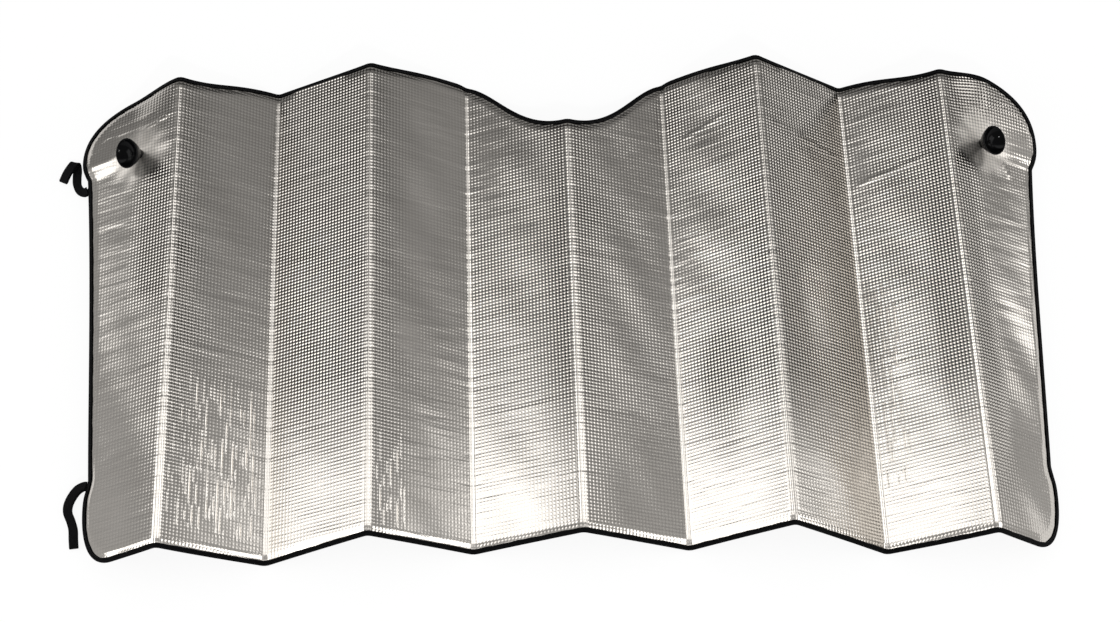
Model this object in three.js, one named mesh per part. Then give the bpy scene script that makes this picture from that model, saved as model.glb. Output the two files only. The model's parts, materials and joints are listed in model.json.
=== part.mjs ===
// Folding windscreen sunshade: one foil-faced bubble sheet, heat-creased into ten panels and bound
// with a stitched tape, with two suction cups and two elastic ties. It lies opened out as a row of
// pleats, standing on its valley creases. Millimetres, +Z up, foil side up, mirror notch towards +Y.
import * as THREE from 'three';

// The blank, laid flat: u runs across the sheet from the centre crease, v up from its lower edge.
const panelWidth = 130;
const creasesPerSide = 4;
const notchHalfWidth = 145;
const notchDepth = 84;
const humpTop = 608;
const humpFlat = 599;
const humpFlatStart = 290;
const humpFlatEnd = 375;
const shoulderLevel = 579;
const earReach = 134;
const earWidestLevel = 505;
const neckReach = 125;
const neckLevel = 475;
const ankleReach = 99;
const ankleLevel = 83;
const footReach = 105;
const footWidestLevel = 50;
const footFlat = 62;
const footLevel = -20;
const lowerEdgeLevel = -4;
const sheetThickness = 3.2;

// The creases: each is a bend of this width along the sheet. Ridge heights are above the valleys.
const creaseBend = 8;
const ridgeHeights = { centre: 53, left: [63, 68], right: [71, 67] };

// Slope of each end panel in degrees, at the blank's lower edge and at the ear's widest level.
const endSlopes = { left: { foot: 34, ear: 29.3 }, right: { foot: 38.2, ear: 29 } };

// A soft double crease runs across each end panel at the cup, from inner to outer depth below the
// shoulder. The band in it and the ear above it each have their own rise per millimetre of level.
const earCreaseDepth = { inner: 101, outer: 109 };
const earBandWidth = 16;
const earBandRise = { left: 0.2, right: 0.26 };
const earRise = { left: -0.21, right: 0.155 };
const earBend = 8;

// The binding tape, folded over a margin where the bubbles are pressed flat.
const clearance = 0.3;
const tapeThickness = 0.5;
const tapeLeg = 5.2;
const pressedThickness = 1.5;
const pressedStep = 0.8;

// The suction cups: moulded in one piece, buttoned through a punched hole in each end panel. The neck
// is loose in the hole, so each cup leans away from the sheet's normal, down on one side of its boss.
const cupInset = 85;
const cupDrop = 91;
const cupLean = { left: { angle: 20, bearing: 228 }, right: { angle: 9, bearing: 310 } };
const cupPlay = 0.6;
const cupNeckRadius = 3.6;
const cupHeadRadius = 6.5;
const cupHeadHeight = 4.5;
const cupBossRadius = 5.6;
const cupBossHeight = 4;
const cupRimRadius = 17.5;
const cupLipWidth = 1.6;
const cupHeight = 21;
const cupBowlDepth = 9;

// The elastic ties: each is a flat elastic doubled into a loop, its two ends sewn in under the binding
// of the left edge. It lies loose on the surface under the shade, one strand over the other. A route
// goes on from the edge through hand-placed points, each with the bearing of the elastic's width in
// degrees. The upper loop curls over at its top and comes down beside itself.
const tieWidth = 10;
const tieThickness = 1.2;
const tieStrandSpacing = 3.7;
const tieStep = 4;
const tieRoutes = {
  upper: [[-575, 465.5, 2.6, 240], [-579, 474, 1.8, 205], [-580, 485, 1.6, 182], [-580, 494, 1.6, 180],
    [-581, 499.5, 4, 176], [-583, 499, 8.2, 165], [-586, 494, 9.6, 150], [-591, 487, 6.6, 140],
    [-595, 479, 3.2, 138]],
  lower: [[-552, 76, 7.4, 300], [-558, 69, 4.6, 325], [-562, 60, 2.4, 350], [-562, 51, 1.6, 368],
    [-558, 41, 1.5, 376], [-555, 31, 1.5, 370], [-554, 20, 1.5, 363], [-553, 11, 1.5, 361]],
};
const tieLevels = { upper: 463, lower: 77 };

// How finely curves are divided.
const tightStep = 9;
const gentleStep = 28;
const bendParts = 4;
const holeSides = 20;
const cupSides = 24;
const cupCurveParts = 5;
const tieEndParts = 5;

const margin = tapeLeg + clearance + pressedStep;
const outerCrease = creasesPerSide * panelWidth;
const sides = { left: -1, right: 1 };
const sideName = (u) => (u < 0 ? 'left' : 'right');

// The hole's play and the groove between head and boss are enough for the cup that leans most.
const mostLean = THREE.MathUtils.degToRad(Math.max(cupLean.left.angle, cupLean.right.angle));
const holeRadius = cupNeckRadius / Math.cos(mostLean) + (sheetThickness / 2) * Math.tan(mostLean) + cupPlay;
const cupGroove = (sheetThickness + 2 * clearance + (cupBossRadius + cupHeadRadius) * Math.sin(mostLean))
  / Math.cos(mostLean) + cupPlay;

// Place of a cup's hole in the blank.
const cupPoint = (name) => new THREE.Vector2(
  sides[name] * (outerCrease + earReach - cupInset),
  shoulderLevel - cupDrop,
);

const foil = new THREE.MeshStandardMaterial({ color: 0xb4aea6, metalness: 1, roughness: 0.3 });
const tape = new THREE.MeshStandardMaterial({ color: 0x14151a, metalness: 0, roughness: 0.7 });
const elastic = new THREE.MeshStandardMaterial({ color: 0x101013, metalness: 0, roughness: 0.85 });
const rubber = new THREE.MeshStandardMaterial({ color: 0x0b0b0d, metalness: 0, roughness: 0.25 });

// Right half of the blank's outline, from the middle of the notch round to the middle of the lower
// edge. Each stretch is a curve with the spacing of its points.
function halfOutline() {
  const at = (reach, level) => new THREE.Vector2(outerCrease + reach, level);
  const point = (u, v) => new THREE.Vector2(u, v);
  const notchFloor = humpTop - notchDepth;
  const neck = at(neckReach, neckLevel);
  const ankle = at(ankleReach, ankleLevel);
  const sideLength = neckLevel - ankleLevel;
  const earHeight = shoulderLevel - earWidestLevel;
  const footHeight = footWidestLevel - footLevel;
  const stretches = [
    [tightStep, point(0, notchFloor), point(notchHalfWidth * 0.49, notchFloor),
      point(notchHalfWidth * 0.68, humpTop), point(notchHalfWidth, humpTop)],
    [gentleStep, point(notchHalfWidth, humpTop), point((notchHalfWidth + humpFlatStart) / 2, humpTop),
      point((notchHalfWidth + humpFlatStart) / 2, humpFlat), point(humpFlatStart, humpFlat)],
    [gentleStep, point(humpFlatEnd, humpFlat), point((humpFlatEnd + outerCrease) / 2, humpFlat),
      at(-outerCrease / 10, shoulderLevel), at(0, shoulderLevel)],
    [tightStep, at(0, shoulderLevel), at(earReach * 0.7, shoulderLevel),
      at(earReach, earWidestLevel + earHeight * 0.65), at(earReach, earWidestLevel)],
    [tightStep, at(earReach, earWidestLevel), at(earReach, (earWidestLevel + neckLevel) / 2),
      at((earReach + neckReach) / 2, neckLevel + (earWidestLevel - neckLevel) * 0.3), neck],
    [gentleStep, neck, at(neckReach - 13, neckLevel - sideLength / 3),
      at(ankleReach + 7, ankleLevel + sideLength / 4), ankle],
    [tightStep, ankle, at((ankleReach + footReach) / 2, (ankleLevel + footWidestLevel) / 2),
      at(footReach, (ankleLevel + footWidestLevel) / 2), at(footReach, footWidestLevel)],
    [tightStep, at(footReach, footWidestLevel), at(footReach, footWidestLevel - footHeight * 0.56),
      at(footFlat + (footReach - footFlat) * 0.7, footLevel), at(footFlat, footLevel)],
    [gentleStep, at(footFlat, footLevel), point(outerCrease * 0.77, footLevel),
      point(outerCrease * 0.7, lowerEdgeLevel), point(0, lowerEdgeLevel)],
  ];
  const points = [];
  for (const [step, ...controls] of stretches) {
    const curve = new THREE.CubicBezierCurve(...controls);
    points.push(...curve.getSpacedPoints(Math.ceil(curve.getLength() / step)));
  }
  return points.filter((p, i) => i === 0 || p.distanceTo(points[i - 1]) > 0.01);
}

// The whole outline as one anticlockwise loop, the left half mirrored from the right one.
function outlineLoop() {
  const right = halfOutline();
  const left = right.slice(1, -1).map((p) => new THREE.Vector2(-p.x, p.y));
  return [...right.reverse(), ...left];
}

// Height of one crease above the valleys, counted outwards from the centre.
function creaseHeight(side, index) {
  if (index === 0) return ridgeHeights.centre;
  return index % 2 === 0 ? ridgeHeights[side][index / 2 - 1] : 0;
}

// Slope of one panel, counted outwards from the centre. The end panels twist from foot to ear.
function panelSlope(side, index, v) {
  if (index === creasesPerSide) {
    const { foot, ear } = endSlopes[side];
    return -THREE.MathUtils.degToRad(foot + ((ear - foot) * v) / earWidestLevel);
  }
  const rise = creaseHeight(side, index + 1) - creaseHeight(side, index);
  return Math.asin(rise / (panelWidth - creaseBend / 2));
}

// Length past the start of a soft crease, counted gently at first over the width of its bend.
function pastBend(length) {
  if (length <= 0) return 0;
  return length < earBend ? (length * length) / (2 * earBend) : length - earBend / 2;
}

// Lift of the cup's band and of the ear above it. It starts from nothing at the outer crease.
function earLift(side, reach, v) {
  if (reach <= 0) return 0;
  const { inner, outer } = earCreaseDepth;
  const start = shoulderLevel - inner - ((outer - inner) * reach) / earReach;
  const band = earBandRise[side] * pastBend(v - start);
  const ear = (earRise[side] - earBandRise[side]) * pastBend(v - start - earBandWidth);
  return (band + ear) * THREE.MathUtils.smoothstep(reach, 0, earReach / 2);
}

// Middle surface of the folded sheet over the blank's point (u, v). It walks outwards from the centre
// crease: half a bend, a flat panel and half a bend again, until the length |u| is used up.
function middleSurface(u, v) {
  const side = sideName(u);
  const place = { out: 0, up: ridgeHeights.centre, slope: 0, left: Math.abs(u) };
  const advance = (length, slope) => {
    const used = Math.min(length, place.left);
    const turn = ((slope - place.slope) * used) / length || 0;
    const end = place.slope + turn;
    const mean = place.slope + turn / 2;
    const chord = Math.abs(turn) > 1e-9 ? (2 * Math.sin(turn / 2) * used) / turn : used;
    place.out += chord * Math.cos(mean);
    place.up += chord * Math.sin(mean);
    place.slope = end;
    place.left -= used;
  };
  for (let panel = 0; panel <= creasesPerSide && place.left > 0; panel += 1) {
    const slope = panelSlope(side, panel, v);
    const last = panel === creasesPerSide;
    advance(creaseBend / 2, slope);
    advance(last ? 2 * panelWidth : panelWidth - creaseBend, slope);
    if (!last) advance(creaseBend / 2, (slope + panelSlope(side, panel + 1, v)) / 2);
  }
  const lift = earLift(side, Math.abs(u) - outerCrease, v);
  return new THREE.Vector3(sides[side] * place.out, v, place.up + lift);
}

// Upward normal of the middle surface.
function sheetNormal(u, v) {
  const nudge = 0.01;
  const across = middleSurface(u + nudge, v).sub(middleSurface(u - nudge, v));
  const along = middleSurface(u, v + nudge).sub(middleSurface(u, v - nudge));
  return across.cross(along).normalize();
}

// Point of the folded sheet over the blank's point p, at height w from the middle surface.
function fold(p, w) {
  return middleSurface(p.x, p.y).addScaledVector(sheetNormal(p.x, p.y), w);
}

// Grid lines of the blank: across each crease bend, and over the end panels where they twist and bend.
// A square round each cup's hole is one cell.
function gridLines() {
  const across = [];
  for (let crease = -creasesPerSide; crease <= creasesPerSide; crease += 1) {
    for (let part = 0; part <= bendParts; part += 1) {
      across.push(crease * panelWidth + creaseBend * (part / bendParts - 0.5));
    }
  }
  const cellHalf = 2 * holeRadius;
  const twist = [ankleLevel, (ankleLevel + neckLevel) / 3, ((ankleLevel + neckLevel) * 2) / 3];
  const up = [...twist, shoulderLevel - earCreaseDepth.outer];
  for (const name of Object.keys(sides)) {
    const { x, y } = cupPoint(name);
    across.push(x - cellHalf, x + cellHalf, (x + sides[name] * outerCrease) / 2);
    across.push(sides[name] * (outerCrease + neckReach - cellHalf));
    up.push(y - cellHalf, y + cellHalf);
  }
  const bandTop = shoulderLevel - earCreaseDepth.inner + earBandWidth + earBend;
  up.push(bandTop + earBend, bandTop + 5 * earBend);
  const ascending = (values) => [...new Set(values)].sort((a, b) => a - b);
  return { across: ascending(across), up: ascending(up) };
}

// Rungs of the edge: pairs of points on the outline and on the line where the full thickness starts.
// A rung is added wherever the inner line meets a grid line, so the edge bends with the sheet.
function edgeRungs(grid) {
  const loop = outlineLoop();
  const plain = loop.map((outer, i) => {
    const before = loop[(i + loop.length - 1) % loop.length];
    const after = loop[(i + 1) % loop.length];
    const n1 = outer.clone().sub(before).normalize().rotateAround(new THREE.Vector2(), Math.PI / 2);
    const n2 = after.clone().sub(outer).normalize().rotateAround(new THREE.Vector2(), Math.PI / 2);
    const mitre = n1.clone().add(n2).normalize();
    return { outer, inner: outer.clone().addScaledVector(mitre, margin / mitre.dot(n1)) };
  });
  const rungs = [];
  plain.forEach((rung, i) => {
    const next = plain[(i + 1) % plain.length];
    const cuts = [];
    for (const [axis, lines] of [['x', grid.across], ['y', grid.up]]) {
      for (const line of lines) {
        const t = (line - rung.inner[axis]) / (next.inner[axis] - rung.inner[axis]);
        if (t > 1e-6 && t < 1 - 1e-6) cuts.push({ t, axis, line });
      }
    }
    rungs.push(rung);
    for (const { t, axis, line } of cuts.sort((a, b) => a.t - b.t)) {
      const added = {
        outer: rung.outer.clone().lerp(next.outer, t),
        inner: rung.inner.clone().lerp(next.inner, t),
      };
      added.inner[axis] = line;
      rungs.push(added);
    }
  });
  return rungs;
}

// Point of a rung at a distance inwards from the outline.
const rungPoint = (rung, inwards) => rung.outer.clone().lerp(rung.inner, inwards / margin);

// Part of a polygon on one side of a grid line.
function clip(polygon, axis, line, sign) {
  const kept = [];
  polygon.forEach((p, i) => {
    const q = polygon[(i + 1) % polygon.length];
    const dp = (p[axis] - line) * sign;
    const dq = (q[axis] - line) * sign;
    if (dp >= 0) kept.push(p);
    if ((dp > 0 && dq < 0) || (dp < 0 && dq > 0)) {
      const cut = p.clone().lerp(q, dp / (dp - dq));
      cut[axis] = line;
      kept.push(cut);
    }
  });
  return kept.filter((p, i) => p.distanceTo(kept[(i + 1) % kept.length]) > 1e-7);
}

// Punched hole of a cup, clockwise.
function holeLoop(name) {
  const centre = cupPoint(name);
  return Array.from({ length: holeSides }, (_, i) => {
    const turn = (-2 * Math.PI * i) / holeSides;
    return new THREE.Vector2(Math.cos(turn), Math.sin(turn)).multiplyScalar(holeRadius).add(centre);
  });
}

// Triangles of the blank inside the margin, cell by cell of the grid, anticlockwise.
function blankTriangles(inner, grid, holes) {
  const triangles = [];
  const bound = (lines) => [-Infinity, ...lines, Infinity];
  const across = bound(grid.across);
  const up = bound(grid.up);
  for (let i = 0; i + 1 < across.length; i += 1) {
    let column = inner;
    if (i > 0) column = clip(column, 'x', across[i], 1);
    if (i + 2 < across.length) column = clip(column, 'x', across[i + 1], -1);
    for (let j = 0; j + 1 < up.length; j += 1) {
      let cell = column;
      if (j > 0) cell = clip(cell, 'y', up[j], 1);
      if (j + 2 < up.length) cell = clip(cell, 'y', up[j + 1], -1);
      if (cell.length < 3) continue;
      const inCell = ({ x, y }) => x > across[i] && x < across[i + 1] && y > up[j] && y < up[j + 1];
      const punched = holes.filter((hole) => hole.every(inCell));
      const points = [cell, ...punched].flat();
      for (const face of THREE.ShapeUtils.triangulateShape(cell, punched)) {
        triangles.push(face.map((index) => points[index]));
      }
    }
  }
  return triangles;
}

// Collects faces of a solid from corners given as points in space.
class Faces {
  positions = [];

  add(a, b, c) {
    for (const p of [a, b, c]) this.positions.push(p.x, p.y, p.z);
  }

  quad(a, b, c, d) {
    this.add(a, b, c);
    this.add(a, c, d);
  }

  geometry() {
    const result = new THREE.BufferGeometry();
    result.setAttribute('position', new THREE.Float32BufferAttribute(this.positions, 3));
    result.computeVertexNormals();
    return result;
  }
}

// The sheet: full thickness inside the margin, pressed thin under the tape, with two punched holes.
function sheetGeometry(grid, rungs) {
  const faces = new Faces();
  const full = sheetThickness / 2;
  const thin = pressedThickness / 2;
  const holes = Object.keys(sides).map(holeLoop);
  for (const [a, b, c] of blankTriangles(rungs.map((rung) => rung.inner), grid, holes)) {
    faces.add(fold(a, full), fold(b, full), fold(c, full));
    faces.add(fold(c, -full), fold(b, -full), fold(a, -full));
  }
  const profile = [[margin, full], [margin - pressedStep, thin], [0, thin], [0, -thin],
    [margin - pressedStep, -thin], [margin, -full]];
  rungs.forEach((rung, i) => {
    const next = rungs[(i + 1) % rungs.length];
    const here = profile.map(([inwards, w]) => fold(rungPoint(rung, inwards), w));
    const there = profile.map(([inwards, w]) => fold(rungPoint(next, inwards), w));
    for (let k = 0; k + 1 < profile.length; k += 1) {
      faces.quad(here[k + 1], there[k + 1], there[k], here[k]);
    }
  });
  for (const hole of holes) {
    hole.forEach((p, i) => {
      const q = hole[(i + 1) % hole.length];
      faces.quad(fold(p, -full), fold(q, -full), fold(q, full), fold(p, full));
    });
  }
  return faces.geometry();
}

// The binding: one tape folded over the edge all the way round, a U in section.
function bindingGeometry(rungs) {
  const faces = new Faces();
  const inside = pressedThickness / 2 + clearance;
  const outside = inside + tapeThickness;
  const section = [[tapeLeg, outside], [-clearance - tapeThickness, outside],
    [-clearance - tapeThickness, -outside], [tapeLeg, -outside],
    [tapeLeg, -inside], [-clearance, -inside], [-clearance, inside], [tapeLeg, inside]];
  rungs.forEach((rung, i) => {
    const next = rungs[(i + 1) % rungs.length];
    const here = section.map(([inwards, w]) => fold(rungPoint(rung, inwards), w));
    const there = section.map(([inwards, w]) => fold(rungPoint(next, inwards), w));
    section.forEach((_, k) => {
      const m = (k + 1) % section.length;
      faces.quad(here[m], there[m], there[k], here[k]);
    });
  });
  return faces.geometry();
}

// A suction cup as one turned profile, from the lower face of its boss: mushroom head below the
// groove, neck, boss, and a flared body whose lip is a narrow flat ring round the bowl.
function cupGeometry() {
  const outer = new THREE.QuadraticBezierCurve(
    new THREE.Vector2(cupBossRadius, cupBossHeight),
    new THREE.Vector2(cupRimRadius * 0.72, cupBossHeight + cupHeight * 0.23),
    new THREE.Vector2(cupRimRadius, cupHeight),
  );
  const inner = new THREE.QuadraticBezierCurve(
    new THREE.Vector2(cupRimRadius - cupLipWidth, cupHeight),
    new THREE.Vector2(cupRimRadius * 0.58, cupHeight - cupBowlDepth * 0.9),
    new THREE.Vector2(0, cupHeight - cupBowlDepth),
  );
  const head = new THREE.EllipseCurve(0, -cupGroove, cupHeadRadius, cupHeadHeight, -Math.PI / 2, 0);
  const profile = [
    ...head.getPoints(cupCurveParts),
    new THREE.Vector2(cupNeckRadius, -cupGroove),
    new THREE.Vector2(cupNeckRadius, 0),
    new THREE.Vector2(cupBossRadius, 0),
    ...outer.getPoints(cupCurveParts),
    ...inner.getPoints(cupCurveParts),
  ];
  return new THREE.LatheGeometry(profile, cupSides);
}

// Direction of a cup's axis: the sheet's normal at its hole, leaned towards its bearing.
function cupAxis(name) {
  const { x, y } = cupPoint(name);
  const normal = sheetNormal(x, y);
  const bearing = THREE.MathUtils.degToRad(cupLean[name].bearing);
  const towards = new THREE.Vector3(Math.cos(bearing), Math.sin(bearing), 0);
  towards.addScaledVector(normal, -towards.dot(normal)).normalize();
  const lean = THREE.MathUtils.degToRad(cupLean[name].angle);
  return normal.multiplyScalar(Math.cos(lean)).addScaledVector(towards, Math.sin(lean));
}

// Distance along a cup's axis from the sheet's middle surface to its boss, which rests on the sheet.
function bossDistance(name) {
  const lean = THREE.MathUtils.degToRad(cupLean[name].angle);
  return (sheetThickness / 2 + clearance + cupBossRadius * Math.sin(lean)) / Math.cos(lean);
}

// Where a tie leaves the binding of the left edge, at a level of the blank: two points straight out
// from the edge, and the direction of the edge there.
function tieExit(rungs, level) {
  const start = rungs.findIndex(({ outer }, i) => {
    const next = rungs[(i + 1) % rungs.length].outer;
    return outer.x < -outerCrease && (outer.y - level) * (next.y - level) < 0;
  });
  const [a, b] = [rungs[start], rungs[(start + 1) % rungs.length]];
  const t = (level - a.outer.y) / (b.outer.y - a.outer.y);
  const rung = { outer: a.outer.clone().lerp(b.outer, t), inner: a.inner.clone().lerp(b.inner, t) };
  const face = 5 * clearance + tapeThickness;
  const points = [face, face + tieWidth / 2].map((outwards) => fold(rungPoint(rung, -outwards), 0));
  return { points, edge: fold(b.outer, 0).sub(fold(a.outer, 0)).normalize() };
}

// A tie as rings along its path: out beside the route, round the far end and back on the other side.
function tieGeometry({ points, edge }, route) {
  const bearings = route.map((stop) => THREE.MathUtils.degToRad(stop[3]));
  const widths = new THREE.CatmullRomCurve3([
    edge, edge, ...bearings.map((angle) => new THREE.Vector3(Math.cos(angle), Math.sin(angle), 0))]);
  const middle = new THREE.CatmullRomCurve3([
    ...points, ...route.map(([x, y, z]) => new THREE.Vector3(x, y, z))]);
  const length = middle.getLength();
  const place = (share) => {
    const t = middle.getUtoTmapping(share);
    const tangent = middle.getTangent(t);
    const width = widths.getPoint(t);
    width.addScaledVector(tangent, -width.dot(tangent)).normalize();
    return { centre: middle.getPoint(t), tangent, width, sideways: tangent.clone().cross(width) };
  };
  const count = Math.ceil(length / tieStep);
  const places = Array.from({ length: count + 1 }, (_, i) => place(i / count));
  const far = places[count];
  const turned = Array.from({ length: tieEndParts - 1 }, (_, i) => {
    const turn = (Math.PI * (i + 1)) / tieEndParts;
    const radial = far.sideways.clone().multiplyScalar(-Math.cos(turn));
    return { ...far, radial: radial.addScaledVector(far.tangent, Math.sin(turn)) };
  });
  const rings = [
    ...places.map((at) => ({ ...at, radial: at.sideways.clone().negate() })),
    ...turned,
    ...places.toReversed().map((at) => ({ ...at, radial: at.sideways })),
  ];
  const [x, y] = [tieThickness / 2, tieWidth / 2];
  const chamfer = tieThickness / 4;
  const section = [[x, chamfer - y], [x, y - chamfer], [x - chamfer, y], [chamfer - x, y],
    [-x, y - chamfer], [-x, chamfer - y], [chamfer - x, -y], [x - chamfer, -y]];
  const corners = rings.map(({ centre, radial, width }) => section.map(([out, up]) => (
    centre.clone().addScaledVector(radial, tieStrandSpacing / 2 + out).addScaledVector(width, up))));
  const faces = new Faces();
  corners.slice(1).forEach((there, i) => {
    const here = corners[i];
    here.forEach((_, k) => {
      const m = (k + 1) % here.length;
      faces.quad(here[k], here[m], there[m], there[k]);
    });
  });
  const [first, last] = [corners[0], corners[corners.length - 1]];
  for (let k = 1; k + 1 < section.length; k += 1) {
    faces.add(first[0], first[k + 1], first[k]);
    faces.add(last[0], last[k], last[k + 1]);
  }
  return faces.geometry();
}

const shade = new THREE.Group();
const grid = gridLines();
const rungs = edgeRungs(grid);

function addMesh(name, geometry, material) {
  const mesh = new THREE.Mesh(geometry, material);
  mesh.name = name;
  shade.add(mesh);
  return mesh;
}

addMesh('foil_sheet', sheetGeometry(grid, rungs), foil);
addMesh('edge_binding', bindingGeometry(rungs), tape);
for (const name of Object.keys(sides)) {
  const { x, y } = cupPoint(name);
  const axis = cupAxis(name);
  const cup = addMesh(`suction_cup_${name}`, cupGeometry(), rubber);
  cup.position.copy(middleSurface(x, y)).addScaledVector(axis, bossDistance(name));
  cup.quaternion.setFromUnitVectors(new THREE.Vector3(0, 1, 0), axis);
}

// The part's origin is the middle of the sheet's resting area.
const bounds = new THREE.Box3().setFromObject(shade);
const middle = bounds.getCenter(new THREE.Vector3());
shade.position.set(-middle.x, -middle.y, -bounds.min.z);
for (const [name, route] of Object.entries(tieRoutes)) {
  addMesh(`elastic_tie_${name}`, tieGeometry(tieExit(rungs, tieLevels[name]), route), elastic);
}

const part = new THREE.Group();
part.add(shade);
part.updateMatrixWorld(true);

export default part;
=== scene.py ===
"""Looks of a folding windscreen sunshade, in the order in which the real one is put together.

Sizes are in millimetres, as a cutter's drawing gives them, and times mm they are metres.
"""
import json
import math

import bpy
import numpy as np
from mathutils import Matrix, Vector


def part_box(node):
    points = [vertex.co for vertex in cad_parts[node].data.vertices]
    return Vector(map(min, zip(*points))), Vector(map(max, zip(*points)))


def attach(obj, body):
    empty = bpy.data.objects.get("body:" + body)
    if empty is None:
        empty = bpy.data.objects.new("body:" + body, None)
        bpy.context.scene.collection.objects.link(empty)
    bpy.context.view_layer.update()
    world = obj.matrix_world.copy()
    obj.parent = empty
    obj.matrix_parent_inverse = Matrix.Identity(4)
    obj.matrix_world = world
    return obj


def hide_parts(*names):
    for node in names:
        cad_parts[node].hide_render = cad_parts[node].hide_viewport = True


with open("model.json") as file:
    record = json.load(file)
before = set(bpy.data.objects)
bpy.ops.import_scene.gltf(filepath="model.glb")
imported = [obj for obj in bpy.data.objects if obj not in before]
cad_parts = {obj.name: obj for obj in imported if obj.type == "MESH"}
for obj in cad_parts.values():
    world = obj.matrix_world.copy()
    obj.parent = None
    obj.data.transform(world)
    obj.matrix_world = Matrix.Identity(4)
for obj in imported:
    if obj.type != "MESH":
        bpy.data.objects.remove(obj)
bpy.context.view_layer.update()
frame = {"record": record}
mm = 0.001

# Camera
# It stands in front of the lower edge and looks down on the open shade. Its lens suits a picture 1120 x 622,
# a size that this script doesn't set.
camera_data = bpy.data.cameras.new("camera")
camera_data.sensor_width = 36
camera_data.lens = 77.14
camera = bpy.data.objects.new("camera", camera_data)
camera.location = (-0.11745, -1.33435, 2.42600)
camera.rotation_euler = [math.radians(angle) for angle in (28.900, -1.536, -1.820)]
bpy.context.scene.collection.objects.link(camera)
bpy.context.scene.camera = camera
bpy.context.scene.view_settings.view_transform = "Standard"


# Elastic ties
# Flat black elastic, woven over rubber threads. Each piece is doubled into a loop and its two ends are
# sewn in under the edge tape of the left side. It holds the folded shade together, and here it lies
# loose. A route gives places in millimetres, and the bearing of the elastic's width in degrees.
tie_width = 10 * mm
tie_thickness = 1.2 * mm
tie_strand_spacing = 3.7 * mm
tie_step = 1.2 * mm
tie_end_parts = 10
tie_routes = {
    "upper": [(-560.4, 168.6, 8.6, 275), (-564.7, 167.6, 6.1, 275), (-570.5, 171.5, 4.1, 240),
              (-574.5, 180.0, 3.3, 205), (-575.5, 191.0, 3.1, 182), (-575.5, 200.0, 3.1, 180),
              (-576.5, 205.5, 5.5, 176), (-578.5, 205.0, 9.7, 165), (-581.5, 200.0, 11.1, 150),
              (-586.5, 193.0, 8.1, 140), (-590.5, 185.0, 4.7, 138)],
    "lower": [(-536.7, -216.6, 14.8, 260), (-540.8, -215.6, 12.1, 260), (-547.5, -218.0, 8.9, 300),
              (-553.5, -225.0, 6.1, 325), (-557.5, -234.0, 3.9, 350), (-557.5, -243.0, 3.1, 368),
              (-553.5, -253.0, 3.0, 376), (-550.5, -263.0, 3.0, 370), (-549.5, -274.0, 3.0, 363),
              (-548.5, -283.0, 3.0, 361)],
}


def linear(code):
    """Linear colour of an sRGB hex code, by the sRGB curve."""
    values = [int(code[i:i + 2], 16) / 255 for i in (1, 3, 5)]
    return [v / 12.92 if v <= 0.04045 else ((v + 0.055) / 1.055) ** 2.4 for v in values] + [1]


def node(tree, kind, inputs=None, **settings):
    """Adds a node. An input is a value, a socket, or a node whose first output in use is linked to it."""
    made = tree.nodes.new(kind)
    for name, value in settings.items():
        setattr(made, name, value)
    for name, value in (inputs or {}).items():
        if isinstance(value, bpy.types.Node):
            value = next(socket for socket in value.outputs if socket.enabled)
        if isinstance(value, bpy.types.NodeSocket):
            tree.links.new(value, made.inputs[name])
        else:
            made.inputs[name].default_value = value
    return made


def new_material(name):
    """An empty node material, with its tree."""
    material = bpy.data.materials.new(name)
    material.use_nodes = True
    material.node_tree.nodes.clear()
    return material, material.node_tree


def new_piece(name, points, faces, material, uv=None, smooth=True):
    """A mesh object from points in metres, faces of one size and, for each face corner, a UV place."""
    mesh = bpy.data.meshes.new(name)
    faces = np.asarray(faces, dtype=np.int32)
    corners = faces.shape[1]
    mesh.vertices.add(len(points))
    mesh.vertices.foreach_set("co", np.asarray(points, dtype=np.float32).ravel())
    mesh.loops.add(faces.size)
    mesh.loops.foreach_set("vertex_index", faces.ravel())
    mesh.polygons.add(len(faces))
    mesh.polygons.foreach_set("loop_start", np.arange(0, faces.size, corners, dtype=np.int32))
    if uv is not None:
        layer = mesh.uv_layers.new(name="cloth")
        layer.data.foreach_set("uv", np.asarray(uv, dtype=np.float32).ravel())
    mesh.update(calc_edges=True)
    mesh.validate()
    mesh.polygons.foreach_set("use_smooth", np.full(len(mesh.polygons), smooth))
    mesh.materials.append(material)
    piece = bpy.data.objects.new(name, mesh)
    bpy.context.scene.collection.objects.link(piece)
    return piece


def unit(vectors):
    """Each vector over its own length."""
    return vectors / np.maximum(np.linalg.norm(vectors, axis=-1, keepdims=True), 1e-12)


def smooth_path(points, step):
    """Even places along a Catmull-Rom curve. What follows a point's third value is carried along with it."""
    points = np.asarray(points, float)
    padded = np.vstack([2 * points[0] - points[1], points, 2 * points[-1] - points[-2]])
    t = np.linspace(0, 1, 24, endpoint=False)[:, None]
    dense = np.vstack([
        0.5 * (2 * b + (c - a) * t + (2 * a - 5 * b + 4 * c - d) * t**2 + (3 * b - a - 3 * c + d) * t**3)
        for a, b, c, d in zip(padded, padded[1:], padded[2:], padded[3:])] + [points[-1:]])
    run = np.r_[0, np.cumsum(np.linalg.norm(np.diff(dense[:, :3], axis=0), axis=1))]
    even = np.linspace(0, run[-1], max(2, round(run[-1] / step)) + 1)
    return np.stack([np.interp(even, run, column) for column in dense.T], axis=1)


def ring_faces(rings, sides, closed=False):
    """Quads between each ring of points and the next, in rings of equal size."""
    count = rings if closed else rings - 1
    i, k = np.meshgrid(np.arange(count), np.arange(sides), indexing="ij")
    j = (i + 1) % rings
    m = (k + 1) % sides
    return np.stack([i * sides + k, i * sides + m, j * sides + m, j * sides + k], axis=-1).reshape(-1, 4)


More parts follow.
